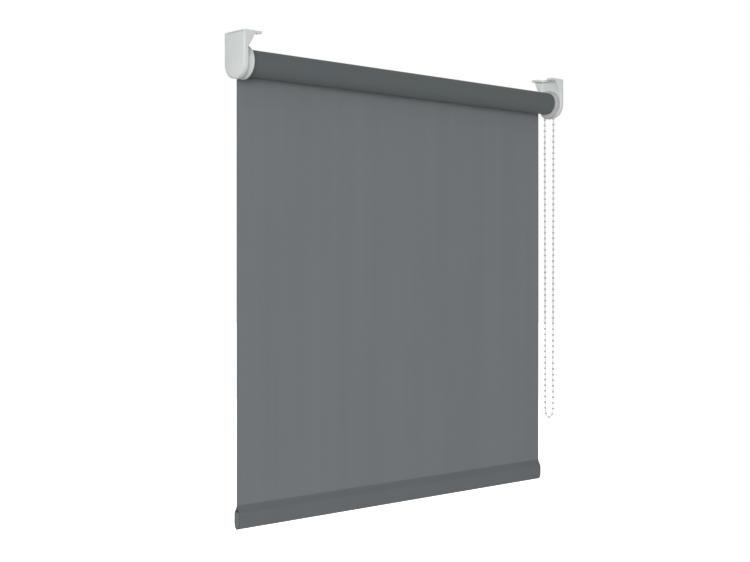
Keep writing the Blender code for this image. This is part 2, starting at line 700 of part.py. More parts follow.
# ---------------------------------------------------------------- hanging fabric and hem
def barrel_side(half_thickness, half_height, steps=12):
    """The front side of a barrel about the middle of the hem bar, from its foot to its top."""
    points = []
    for step in range(steps + 1):
        turn = math.radians(180 * step / steps - 90)
        power = 2 / (HEM_BAR_TOP_POWER if turn > 0 else HEM_BAR_FOOT_POWER)
        height = math.copysign(abs(math.sin(turn)) ** power, turn)
        points.append((half_thickness * math.cos(turn) ** power, half_height * height))
    return points


def barrel_outline(half_thickness, half_height):
    """A whole barrel: its front side and the mirror image."""
    front = barrel_side(half_thickness, half_height)
    return front + [(-y, z) for y, z in front[-2:0:-1]]


def pocket_outline(offset):
    """The hem pocket's outline at an offset from the bar: round the barrel, then up to a narrow top under the
    seam."""
    half_height = HEM_BAR_HEIGHT / 2
    foot, *side = barrel_side(HEM_BAR_HALF_THICKNESS + offset, half_height + offset)
    seam = HEM_BAR_CENTRE - GAP - (GAP + HEM_CLOTH - offset)
    front = [(y, z) for y, z in side if z < half_height * POCKET_LEAVES_BAR]
    right = front + [(HEM_CLOTH / 4 + offset / 2, seam)]
    return [foot] + right + [(-y, z) for y, z in reversed(right)]


def make_hem(parent, cloth, metal, plastic):
    """Pocket, weight bar and its two end caps."""
    half_height = HEM_BAR_HEIGHT / 2
    bar_end = HALF_WIDTH - HEM_CAP_FACE - GAP
    outer = barrel_outline(HEM_BAR_HALF_THICKNESS, half_height)
    inner = barrel_outline(HEM_BAR_HALF_THICKNESS - HEM_BAR_WALL, half_height - HEM_BAR_WALL)
    add_object("hem_bar", hollow_prism(outer, inner, -bar_end, bar_end), parent, metal, smooth=True)
    play = HEM_BAR_WALL + GAP
    filling = barrel_outline(HEM_BAR_HALF_THICKNESS - play, half_height - play)
    for name, side in (("hem_cap_left", -1), ("hem_cap_right", 1)):
        face = prism(outer, *across(side, HALF_WIDTH - HEM_CAP_FACE, HALF_WIDTH))
        cap = add_object(name, face, parent, plastic, smooth=True)
        inside = HALF_WIDTH - HEM_CAP_FACE
        join(cap, prism(filling, *across(side, inside - HEM_CAP_PLUG, inside + HEM_CAP_FACE / 2)))
    pocket = hollow_prism(pocket_outline(GAP + HEM_CLOTH), pocket_outline(GAP), -HALF_WIDTH, HALF_WIDTH)
    add_object("hem_pocket", pocket, parent, cloth, smooth=True)


def make_fabric_drop(parent, material):
    """The fabric that hangs behind the roller, from the roller's axis down to the seam."""
    half = FABRIC_THICKNESS / 2
    sheet = block(
        (-HALF_WIDTH, HALF_WIDTH), (FABRIC_Y - half, FABRIC_Y + half), (-FABRIC_DROP + GAP, 0)
    )
    add_object("fabric_drop", sheet, parent, material)


# ---------------------------------------------------------------- the blind
def build():
    """Makes every piece."""
    clear_scene()
    white = make_material("bracket_white", (0.62, 0.65, 0.64), 0.42)
    core_grey = make_material("clutch_grey", (0.30, 0.31, 0.31), 0.5)
    steel = make_material("spring_steel", (0.56, 0.57, 0.58), 0.35, 1.0)
    aluminium = make_material("roller_aluminium", (0.72, 0.73, 0.74), 0.38, 1.0)
    cloth = make_material("grey_fabric", (0.155, 0.170, 0.178), 0.9)
    cap_grey = make_material("cap_grey", (0.17, 0.19, 0.18), 0.55)
    spline_plastic = make_material("spline_plastic", (0.75, 0.74, 0.70), 0.5)
    chain_white = make_material("chain_plastic", (0.55, 0.56, 0.57), 0.4)

    fixed = add_empty("bracket_frame", AXIS)
    roller = add_empty("roller_axis", AXIS)
    hem_place = (AXIS[0], AXIS[1] + FABRIC_Y, AXIS[2] - FABRIC_DROP - HEM_BAR_CENTRE)
    hem = add_empty("hem_middle", hem_place)

    make_brackets(fixed, white)
    make_clutch_core(fixed, core_grey)
    make_chain_guard(fixed, white)
    make_clip(fixed, steel)
    make_fabric_drop(fixed, cloth)
    wire("bead_chain", chain_points(), CHAIN_TUBE_RADIUS, fixed, chain_white, 2)

    make_tube(roller, aluminium)
    make_spline(roller, spline_plastic)
    make_wound_fabric(roller, cloth)
    make_idle_end(roller, white, steel)
    make_drive_hub(roller, core_grey)
    make_wrap_springs(roller, steel)
    make_chain_wheel(roller, white)

    make_hem(hem, cloth, aluminium, cap_grey)


build()
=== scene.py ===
"""The looks of a chain-operated roller blind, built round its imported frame.

Every shape is a surface worked out with numpy about the roller's axis and then put in its place. Points
called (out, y, z) are measured from the roller's middle: out runs along X, y towards the window and z up.
Lengths are in metres and angles in degrees, unless a name says otherwise."""

from __future__ import annotations

import json
import logging
import math
from dataclasses import dataclass
from enum import Enum
from typing import Any, Iterable, Sequence

import bmesh
import bpy
import numpy as np
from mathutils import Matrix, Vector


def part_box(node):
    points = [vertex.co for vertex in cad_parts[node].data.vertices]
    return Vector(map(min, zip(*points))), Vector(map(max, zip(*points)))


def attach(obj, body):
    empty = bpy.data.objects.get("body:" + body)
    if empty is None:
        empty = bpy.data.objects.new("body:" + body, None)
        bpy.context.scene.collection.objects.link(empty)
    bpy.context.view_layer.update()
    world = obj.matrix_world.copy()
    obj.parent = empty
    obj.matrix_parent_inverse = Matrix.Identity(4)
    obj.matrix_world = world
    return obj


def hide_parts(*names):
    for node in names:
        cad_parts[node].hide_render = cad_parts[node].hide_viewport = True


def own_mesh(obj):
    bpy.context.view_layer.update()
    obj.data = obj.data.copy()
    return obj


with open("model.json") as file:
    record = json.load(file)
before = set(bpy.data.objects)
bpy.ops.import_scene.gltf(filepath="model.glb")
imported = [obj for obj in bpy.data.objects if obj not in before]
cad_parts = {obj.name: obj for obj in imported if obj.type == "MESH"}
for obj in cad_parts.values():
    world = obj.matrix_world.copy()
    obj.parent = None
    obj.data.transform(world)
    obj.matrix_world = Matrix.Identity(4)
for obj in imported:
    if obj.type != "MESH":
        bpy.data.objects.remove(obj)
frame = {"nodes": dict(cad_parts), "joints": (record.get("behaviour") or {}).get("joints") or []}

LOG = logging.getLogger("roller_blind")
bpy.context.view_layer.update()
JOINTS = {joint["name"]: joint for joint in frame["joints"]}
AXIS = np.array(JOINTS["roller_turn"]["pos_m"], float)
CUT_OVER = 0.001  # how far a cutting shape runs past the surface that it cuts
ROUND_SHARE = 0.45  # the most of an edge that the rounding of one of its corners takes
MITRE_LIMIT = 0.3  # the least divisor at a sharp corner when an outline moves in
WAVE_RATE = 20  # radians that a Wave texture's bands turn through in a metre, at scale 1

Colour = tuple[float, float, float]
Shape = tuple[np.ndarray, list]


class Body(Enum):
    """The bodies of the frame that pieces ride on."""

    BRACKETS = "bracket_frame"
    ROLLER = "roller"
    HEM = "hem"


class Side(Enum):
    """The two ends of the blind: the idle end on the left and the chain end on the right."""

    LEFT = -1
    RIGHT = 1

    @property
    def word(self) -> str:
        """The side's name, as nodes spell it."""
        return self.name.lower()


# ---------------------------------------------------------------- flat outlines
def unit(vectors: np.ndarray) -> np.ndarray:
    """Vectors with their lengths made 1."""
    return vectors / np.linalg.norm(vectors, axis=-1, keepdims=True)


def arc(centre: Sequence[float], radius: float, first: float, last: float, steps: int) -> np.ndarray:
    """Steps + 1 points on a circle, evenly turned from a first angle to a last one."""
    angle = np.radians(np.linspace(first, last, steps + 1))
    return np.stack([centre[0] + radius * np.cos(angle), centre[1] + radius * np.sin(angle)], axis=1)


def circle(centre: Sequence[float], radius: float, count: int) -> np.ndarray:
    """A closed circle of so many points."""
    return arc(centre, radius, 0, 360 - 360 / count, count - 1)


def rounded(corners: Sequence[Sequence[float]], radius: float, steps: int = 4) -> np.ndarray:
    """Rounds each corner of a closed outline.

    At a corner with half angle h between its edges, the round starts radius / tan(h) along each edge, at most
    a share of the shorter one, and its centre lies on the bisector, at that start's distance / cos(h).

    Args:
        corners: The outline's corners, in order.
        radius: The radius of each round.
        steps: How many steps each round is cut into.

    Returns:
        The rounded outline's points.
    """
    point = np.asarray(corners, float)
    back, ahead = np.roll(point, 1, axis=0) - point, np.roll(point, -1, axis=0) - point
    shorter = np.minimum(np.linalg.norm(back, axis=1), np.linalg.norm(ahead, axis=1))
    back, ahead = unit(back), unit(ahead)
    half = np.arccos(np.clip((back * ahead).sum(1), -1, 1)) / 2
    start = np.minimum(radius / np.tan(half), ROUND_SHARE * shorter)
    centre = point + unit(back + ahead) * (start / np.cos(half))[:, None]
    first = point + back * start[:, None] - centre
    last = point + ahead * start[:, None] - centre
    turn = np.arctan2(first[:, 0] * last[:, 1] - first[:, 1] * last[:, 0], (first * last).sum(1))
    angle = turn[:, None] * np.linspace(0, 1, steps + 1)
    cos, sin = np.cos(angle), np.sin(angle)
    x = centre[:, :1] + first[:, :1] * cos - first[:, 1:] * sin
    y = centre[:, 1:] + first[:, :1] * sin + first[:, 1:] * cos
    return np.stack([x.ravel(), y.ravel()], axis=1)


def anticlockwise(outline: np.ndarray) -> np.ndarray:
    """The outline with its points in anticlockwise order, by the sign of its area."""
    x, y = outline.T
    area = (x * np.roll(y, -1) - np.roll(x, -1) * y).sum()
    return outline if area > 0 else outline[::-1]


def inset(outline: np.ndarray, depth: float) -> np.ndarray:
    """Moves an anticlockwise outline inwards by a depth. Each point moves along the sum of its two edges'
    inward normals, divided by 1 + their dot product, which keeps both edges at the depth."""
    edge = unit(np.roll(outline, -1, axis=0) - outline)
    after = np.stack([-edge[:, 1], edge[:, 0]], axis=1)
    before = np.roll(after, 1, axis=0)
    share = 1 + (before * after).sum(1)
    return outline + depth * (before + after) / np.maximum(share, MITRE_LIMIT)[:, None]


# ---------------------------------------------------------------- surfaces
def quads(rows: int, columns: int, wrap_rows: bool = False, wrap_columns: bool = True) -> np.ndarray:
    """The four corners of each face of a grid of points, numbered row by row.

    Args:
        rows: How many rows of points the grid has.
        columns: How many points a row has.
        wrap_rows: Whether the last row joins the first.
        wrap_columns: Whether the last point of a row joins its first.

    Returns:
        An array of faces with four point numbers each.
    """
    row = np.arange(rows if wrap_rows else rows - 1)
    column = np.arange(columns if wrap_columns else columns - 1)
    r, c = (part.ravel() for part in np.meshgrid(row, column, indexing="ij"))
    r_next, c_next = (r + 1) % rows, (c + 1) % columns
    corners = (r * columns + c, r * columns + c_next, r_next * columns + c_next, r_next * columns + c)
    return np.stack(corners, axis=1)


def tube_faces(rows: int, columns: int) -> list:
    """The faces of rings of points one after another, with one face over each end."""
    ring = list(range(columns))
    return quads(rows, columns).tolist() + [ring, [(rows - 1) * columns + number for number in ring]]


def slab(
    outline: np.ndarray, start: float, end: float, rim: float = 0, axis: int = 0, steps: int = 3
) -> Shape:
    """A flat outline given thickness, with its two rims rounded.

    The outline is repeated along the axis. Near each end it steps in by rim * (1 - sin a) while the level
    moves by rim * (1 - cos a), with a from 0 to a quarter turn, and both ends are closed with one face.

    Args:
        outline: The closed outline, in the two coordinates across the axis, in X, Y, Z order.
        start: Where the slab starts along the axis.
        end: Where it ends.
        rim: The radius of the rounded rims.
        axis: 0, 1 or 2 for X, Y or Z.
        steps: How many steps each rim is cut into.

    Returns:
        The slab's points and faces.
    """
    outline = anticlockwise(np.asarray(outline, float))
    turn = np.linspace(0, np.pi / 2, steps + 1)
    depth = rim * (1 - np.sin(turn))
    level = rim * (1 - np.cos(turn))
    depths = np.concatenate([depth, depth[::-1]])
    levels = np.concatenate([start + level, end - level[::-1]])
    rings = [np.insert(inset(outline, d), axis, z, axis=1) for d, z in zip(depths, levels)]
    return np.concatenate(rings), tube_faces(len(rings), len(outline))


def slab_at(side: Side, outline: np.ndarray, near: float, far: float, rim: float = 0) -> Shape:
    """A slab between two distances from the blind's middle, towards one side of it."""
    start, end = sorted((side.value * near, side.value * far))
    return slab(outline, start, end, rim)


def lathe(profile: np.ndarray, steps: int = 96) -> Shape:
    """Turns a closed profile of (out, radius) points, none of them on the axis, about the roller's axis."""
    angle = np.arange(steps) * 2 * np.pi / steps
    out = np.broadcast_to(profile[:, 0], (steps, len(profile)))
    y = np.cos(angle)[:, None] * profile[:, 1]
    z = np.sin(angle)[:, None] * profile[:, 1]
    points = np.stack([out, y, z], axis=-1).reshape(-1, 3)
    return points, quads(steps, len(profile), wrap_rows=True).tolist()


def thick_sheet(
    path: np.ndarray, outs: np.ndarray, thickness: float, lift: np.ndarray | None = None
) -> Shape:
    """Cloth of a given thickness that follows a path across the roller's axis and runs straight along it.

    A ring of points goes down one face of the path and back up the other, half the thickness to either side
    of it along the path's normal. The ring is repeated at each distance out, and both selvedges are closed.

    Args:
        path: The (y, z) points of the cloth's middle surface.
        outs: The distances out at which the ring is repeated.
        thickness: The cloth's thickness.
        lift: How far each point of the grid of outs by path is pushed along the normal, if it is.

    Returns:
        The sheet's points and faces.
    """
    along = unit(np.gradient(path, axis=0))
    normal = np.stack([along[:, 1], -along[:, 0]], axis=1)
    push = np.zeros((len(outs), len(path))) if lift is None else lift
    middle = path[None] + normal[None] * push[..., None]
    half = normal[None] * thickness / 2
    ring = np.concatenate([middle + half, (middle - half)[:, ::-1]], axis=1)
    out = np.broadcast_to(np.asarray(outs)[:, None, None], (*ring.shape[:2], 1))
    points = np.concatenate([out, ring], axis=2).reshape(-1, 3)
    count, rows = ring.shape[1], len(outs)
    faces = quads(rows, count)
    step = np.arange(len(path) - 1)
    end = np.stack([step, step + 1, count - 2 - step, count - 1 - step], axis=1)
    return points, np.concatenate([faces, end, end + (rows - 1) * count]).tolist()


def smooth_line(route: np.ndarray, steps: Sequence[int]) -> np.ndarray:
    """A smooth curve through a route's points.

    Between two points the curve is a centripetal Catmull-Rom one: three levels of straight mixes between
    neighbours, by times that grow with the root of the distance between points.

    Args:
        route: The route's points, with one more point before the start and one after the end.
        steps: How many steps each stretch is cut into.

    Returns:
        The curve's points.
    """
    root = np.sqrt(np.linalg.norm(np.diff(route, axis=0), axis=1))
    made = []
    for i, count in enumerate(steps):
        t = np.concatenate([[0], np.cumsum(root[i : i + 3])])
        now = (t[1] + (t[2] - t[1]) * np.arange(count) / count)[:, None]
        p = route[i : i + 4]
        level = [p[k] + (p[k + 1] - p[k]) * (now - t[k]) / (t[k + 1] - t[k]) for k in range(3)]
        level = [
            level[k] + (level[k + 1] - level[k]) * (now - t[k]) / (t[k + 2] - t[k]) for k in range(2)
        ]
        made.append(level[0] + (level[1] - level[0]) * (now - t[1]) / (t[2] - t[1]))
    made.append(route[-2:-1])
    return np.concatenate(made)


# ---------------------------------------------------------------- objects
def link(name: str, data: Any) -> bpy.types.Object:
    """Puts data into a new object at the scene's origin."""
    made = bpy.data.objects.new(name, data)
    bpy.context.scene.collection.objects.link(made)
    return made


def shade(mesh: bpy.types.Mesh, sharp: float) -> None:
    """Shades a mesh smooth, except for edges between faces that meet at more than an angle."""
    mesh.shade_smooth()
    mesh.set_sharp_from_angle(angle=math.radians(sharp))


def paint(piece: bpy.types.Object, finish: "Finish") -> None:
    """Gives a piece one material in place of any that it has."""
    piece.data.materials.clear()
    piece.data.materials.append(finish.material())


def set_piece(piece: bpy.types.Object, body: Body, finish: "Finish", replaced: Iterable[str] = ()) -> None:
    """Gives a finished piece its body and its material, and hides the nodes that it stands for."""
    paint(piece, finish)
    if replaced:
        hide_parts(*replaced)
    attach(piece, body.value)


def make_object(name: str, shape: Shape, sharp: float = 40) -> bpy.types.Object:
    """Puts a closed surface, drawn about the roller's axis, into an object in its place. The object stays at
    the origin, and edges between faces that meet at more than the sharp angle stay sharp."""
    points, faces = shape
    mesh = bpy.data.meshes.new(name)
    mesh.from_pydata((points + AXIS).tolist(), [], faces)
    made = bmesh.new()
    made.from_mesh(mesh)
    bmesh.ops.recalc_face_normals(made, faces=made.faces)
    made.to_mesh(mesh)
    made.free()
    shade(mesh, sharp)
    return link(name, mesh)


def add_piece(
    name: str, shape: Shape, body: Body, finish: "Finish", replaced: Iterable[str] = (), sharp: float = 40
) -> bpy.types.Object:
    """Makes an object of a surface and sets it up as a finished piece."""
    piece = make_object(name, shape, sharp)
    set_piece(piece, body, finish, replaced)
    return piece


def combine(piece: bpy.types.Object, shapes: Iterable[Shape], operation: str, sharp: float = 40) -> None:
    """Joins shapes onto a piece (UNION) or cuts them out of it (DIFFERENCE), one after the other, and keeps
    only the result."""
    for shape in shapes:
        tool = make_object("tool", shape)
        modifier = piece.modifiers.new("combine", "BOOLEAN")
        modifier.operation = operation
        modifier.object = tool
        changed = piece.evaluated_get(bpy.context.evaluated_depsgraph_get())
        mesh = bpy.data.meshes.new_from_object(changed)
        piece.modifiers.clear()
        old, piece.data = piece.data, mesh
        bpy.data.meshes.remove(old)
        bpy.data.meshes.remove(tool.data)
    piece.data.name = piece.name
    shade(piece.data, sharp)


# ---------------------------------------------------------------- shader nodes
class Signal:
    """A node's output that takes part in sums, written as Python expressions."""

    def __init__(self, tree: "Tree", socket: bpy.types.NodeSocket) -> None:
        """Wraps one output socket of a tree."""
        self.tree = tree
        self.socket = socket

    def _math(self, operation: str, first: Any, second: Any) -> "Signal":
        """Adds a Math node for one operation on two values."""
        return self.tree.add("ShaderNodeMath", {"operation": operation}, {0: first, 1: second})

    def __add__(self, other: Any) -> "Signal":
        """This plus the other."""
        return self._math("ADD", self, other)

    def __mul__(self, other: Any) -> "Signal":
        """This times the other."""
        return self._math("MULTIPLY", self, other)

    __radd__ = __add__
    __rmul__ = __mul__


class Tree:
    """A material's nodes, with one method that adds a node and one that sets the shader's sockets."""

    def __init__(self, name: str) -> None:
        """Starts a material with a Principled shader."""
        self.made = bpy.data.materials.new(name)
        self.made.use_nodes = True
        self.nodes = self.made.node_tree.nodes
        self.links = self.made.node_tree.links
        self.shader = self.nodes["Principled BSDF"]

    def add(self, kind: str, settings: dict[str, Any], values: dict[Any, Any], output: Any = 0) -> Signal:
        """Adds a node.

        Args:
            kind: The node's type.
            settings: Its settings, which are set first.
            values: Numbers, colours or signals for its sockets, by name or number.
            output: The name or number of the output wanted.

        Returns:
            That output.
        """
        node = self.nodes.new(kind)
        for key, value in settings.items():
            setattr(node, key, value)
        for key, value in values.items():
            self.set(node.inputs[key], value)
        return Signal(self, node.outputs[output])

    def set(self, socket: bpy.types.NodeSocket, value: Any) -> None:
        """Sets a socket to a value, or links a signal to it."""
        if isinstance(value, Signal):
            self.links.new(value.socket, socket)
        else:
            socket.default_value = value

    def finish(self, **values: Any) -> bpy.types.Material:
        """Sets the Principled shader's sockets, named with underscores for spaces, and gives the material."""
        for key, value in values.items():
            self.set(self.shader.inputs[key.replace("_", " ")], value)
        return self.made

    def place(self, scale: Sequence[float]) -> Signal:
        """Object coordinates, stretched by a scale along each axis."""
        spot = self.add("ShaderNodeTexCoord", {}, {}, "Object")
        return self.add("ShaderNodeMapping", {}, {"Vector": spot, "Scale": scale})

    def noise(self, scale: Sequence[float], detail: float = 2, roughness: float = 0.5) -> Signal:
        """Smooth noise from 0 to 1, with so many cells a metre along each axis."""
        values = {"Vector": self.place(scale), "Scale": 1.0, "Detail": detail, "Roughness": roughness}
        return self.add("ShaderNodeTexNoise", {}, values, "Fac")

    def mix(self, share: Any, first: Any, second: Any) -> Signal:
        """A colour part of the way from the first to the second. A Mix node's colours are sockets 6 and 7."""
        first, second = ((*end, 1) if isinstance(end, tuple) else end for end in (first, second))
        return self.add("ShaderNodeMix", {"data_type": "RGBA"}, {0: share, 6: first, 7: second}, 2)

    def ramp(self, value: Signal, low: float, high: float, kind: str = "LINEAR") -> Signal:
        """A value that runs from 0 to 1 as another goes from low to high."""
        values = {"Value": value, "From Min": low, "From Max": high}
        return self.add("ShaderNodeMapRange", {"interpolation_type": kind}, values)

    def part(self, vector: Signal, axis: str) -> Signal:
        """One coordinate of a vector."""
        return self.add("ShaderNodeSeparateXYZ", {}, {"Vector": vector}, axis)

    def bump(self, height: Signal, distance: float, strength: float) -> Signal:
        """A normal that leans with a height."""
        values = {"Height": height, "Distance": distance, "Strength": strength}
        return self.add("ShaderNodeBump", {}, values)


def scaled(colour: Colour, share: float) -> Colour:
    """A colour made lighter or darker by a share."""
    return tuple(min(1.0, part * share) for part in colour)


def spread(colour: Colour, share: float) -> tuple[Colour, Colour]:
    """A colour made darker and lighter by a share."""
    return scaled(colour, 1 - share), scaled(colour, 1 + share)


# ---------------------------------------------------------------- finishes
@dataclass(frozen=True)
class Finish:
    """What every finish says: its name and the record's slot that it goes with. Nothing in this script reads
    the slot.
    """

    name: str
    slot: str

    def material(self) -> bpy.types.Material:
        """The finish's material, made once."""
        return bpy.data.materials.get(self.name) or self.make()

    def make(self) -> bpy.types.Material:
        """Builds the material."""
        raise NotImplementedError


@dataclass(frozen=True)
class Cloth(Finish):
    """Plain-woven polyester screen cloth, with slubs that run down it as faint streaks.

    Attributes:
        colour: The cloth's colour.
        streak: How much the streaks lighten and darken it.
        threads: Threads in a metre, each way.
        half_width: The distance from the blind's middle to the side edges.
        edge_shade_width: How far in from a side edge the painted shade reaches: darkening that stands in for
            the shadow gap at the roll's ends, and makes the hanging cloth's side edges darker too.
        edge_shade_share: How much of its colour the cloth keeps under that painted shade.
        reverse: The colour of the side that faces the window, where it differs.
        weave_depth: How far the weave stands up.
    """

    colour: Colour = (0.192, 0.209, 0.220)
    streak: float = 0.045
    threads: float = 1500.0
    half_width: float = 0.300
    edge_shade_width: float = 0.0016
    edge_shade_share: float = 0.72
    reverse: Colour | None = None
    weave_depth: float = 0.00012

    def make(self) -> bpy.types.Material:
        """Streaks down the cloth and fainter ones across it vary the colour; the weave is two sets of bars
        that pass over each other, and leans the surface. Painted shade darkens the cloth towards its side
        edges, standing in for the shadow gap at the roll's ends."""
        tree = Tree(self.name)
        broad = tree.noise((28, 28, 0.9), detail=3)
        fine = tree.noise((260, 260, 2.6), detail=2)
        pick = tree.noise((2.0, 2.0, 300), detail=2)
        mottle = tree.noise((9, 9, 9), detail=3)
        tone = broad * 0.42 + fine * 0.30 + pick * 0.12 + mottle * 0.16
        share = tree.ramp(tone, 0.36, 0.64)
        spot = tree.add("ShaderNodeTexCoord", {}, {}, "Object")
        rate = self.threads * 2 * math.pi / WAVE_RATE
        bands = {"Vector": spot, "Scale": rate, "Distortion": 0.4, "Detail": 1.0}
        warp, weft = (
            tree.add("ShaderNodeTexWave", {"bands_direction": way}, bands, "Fac") for way in ("X", "Z")
        )
        weave = warp * 0.5 + weft * 0.5 + fine * 0.8
        # painted shade: this mask rises towards the side edges and darkens the cloth there, for the shadow
        # gap at the roll's ends
        out = tree.add("ShaderNodeMath", {"operation": "ABSOLUTE"}, {0: tree.part(spot, "X")})
        cut = tree.ramp(out, self.half_width - self.edge_shade_width, self.half_width, "SMOOTHSTEP")
        body = tree.mix(share, *spread(self.colour, self.streak))
        if self.reverse:
            normal = tree.add("ShaderNodeNewGeometry", {}, {}, "Normal")
            turned = tree.ramp(tree.part(normal, "Y"), -0.2, 0.2)
            body = tree.mix(turned, body, tree.mix(share, *spread(self.reverse, self.streak)))
        return tree.finish(
            # the side edges take the painted shade colour
            Base_Color=tree.mix(cut, body, scaled(self.colour, self.edge_shade_share)),
            Roughness=0.82 + 0.12 * fine,
            Normal=tree.bump(weave, self.weave_depth, 0.35),
            Sheen_Weight=0.12,
            Sheen_Roughness=0.5,
            Specular_IOR_Level=0.2,
        )


@dataclass(frozen=True)
class Moulding(Finish):
    """Injection-moulded plastic with a fine spark grain and slightly uneven gloss.

    Attributes:
        colour: The plastic's colour.
        roughness: Its mean roughness.
        grain: How deep the grain is.
    """

    colour: Colour = (0.765, 0.797, 0.79)
    roughness: float = 0.38
    grain: float = 0.00003

    def make(self) -> bpy.types.Material:
        """Broad noise tints the colour and the gloss a little, and fine noise grains the surface."""
        tree = Tree(self.name)
        cloud = tree.noise((60, 60, 60), detail=3)
        grain = tree.noise((2600, 2600, 2600), detail=2)
        return tree.finish(
            Base_Color=tree.mix(cloud, scaled(self.colour, 0.965), scaled(self.colour, 1.02)),
            Roughness=self.roughness - 0.06 + 0.12 * cloud,
            Normal=tree.bump(grain, self.grain, 0.3),
            Coat_Weight=0.08,
            Coat_Roughness=0.25,
        )


@dataclass(frozen=True)
class Metal(Finish):
    """Extruded or drawn metal, with fine lines along it.

    Attributes:
        colour: The metal's colour.
        roughness: Its mean roughness.
        lines: Cells a metre along X, Y and Z; few along an axis make lines that run that way.
        line_depth: How deep the lines are.
    """

    colour: Colour = (0.74, 0.75, 0.76)
    roughness: float = 0.34
    lines: tuple[float, float, float] = (6.0, 1800.0, 1800.0)
    line_depth: float = 0.00003

    def make(self) -> bpy.types.Material:
        """Stretched noise makes the lines, which vary the colour, the gloss and the surface's lean."""
        tree = Tree(self.name)
        lines = tree.noise(self.lines, detail=3)
        return tree.finish(
            Base_Color=tree.mix(lines, scaled(self.colour, 0.9), self.colour),
            Metallic=1.0,
            Roughness=self.roughness - 0.08 + 0.16 * lines,
            Normal=tree.bump(lines, self.line_depth, 0.25),
        )


@dataclass(frozen=True)
class FloorPaint(Finish):
    """The pale floor's matt paint.

    Attributes:
        colour: The paint's colour.
        seen: How bright the floor looks beside the surround.
    """

    colour: Colour = (0.72, 0.72, 0.72)
    seen: float = 1.0

    def make(self) -> bpy.types.Material:
        """A matt colour with the faintest mottle. It glows for camera rays alone, so that the floor looks as
        white as the surround and lights nothing."""
        tree = Tree(self.name)
        mottle = tree.noise((1.5, 1.5, 1.5))
        ray = tree.add("ShaderNodeLightPath", {}, {}, "Is Camera Ray")
        return tree.finish(
            Base_Color=tree.mix(mottle, scaled(self.colour, 0.995), self.colour),
            Roughness=0.9,
            Emission_Color=tree.mix(ray, (0.0, 0.0, 0.0), (1.0, 1.0, 1.0)),
            Emission_Strength=self.seen,
        )


REVERSE_CLOTH = Cloth("cloth_reverse", "blind_fabric", colour=(0.117, 0.134, 0.139), streak=0.03)
DROP_CLOTH = Cloth("cloth_drop", "blind_fabric", reverse=REVERSE_CLOTH.colour)
HEM_CLOTH = Cloth("cloth_hem", "blind_fabric", colour=(0.148, 0.164, 0.173), streak=0.03)
BRACKET_WHITE = Moulding("bracket_white", "bracket_plastic")
DISC_WHITE = Moulding("disc_white", "bracket_plastic", colour=(0.64, 0.665, 0.66), roughness=0.42)
# painted shade: the guard is the brackets' white plastic, made darker to stand in for the shade that falls on
# it beside the roll's end
GUARD_SHADED_WHITE = Moulding("guard_grey", "bracket_plastic", colour=(0.54, 0.55, 0.55), roughness=0.45)
DRIVE_GREY = Moulding("drive_grey", "drive_plastic", colour=(0.30, 0.31, 0.31), roughness=0.5)
CAP_GREY = Moulding("cap_grey", "cap_plastic", colour=(0.152, 0.176, 0.163), roughness=0.5)
SPLINE_PLASTIC = Moulding("spline_ivory", "spline_plastic", colour=(0.72, 0.71, 0.67), roughness=0.5)
BEAD_PLASTIC = Moulding("bead_plastic", "chain_plastic", colour=(0.56, 0.57, 0.59), roughness=0.3)
THREAD = Moulding("chain_thread", "chain_plastic", colour=(0.70, 0.71, 0.73), roughness=0.7)
TUBE_METAL = Metal("tube_metal", "tube_aluminium")
BAR_METAL = Metal("bar_metal", "hem_aluminium")
SPRING_METAL = Metal("spring_metal", "spring_steel", colour=(0.58, 0.59, 0.60), lines=(900, 900, 900))
FLOOR_PAINT = FloorPaint("floor_paint", "")


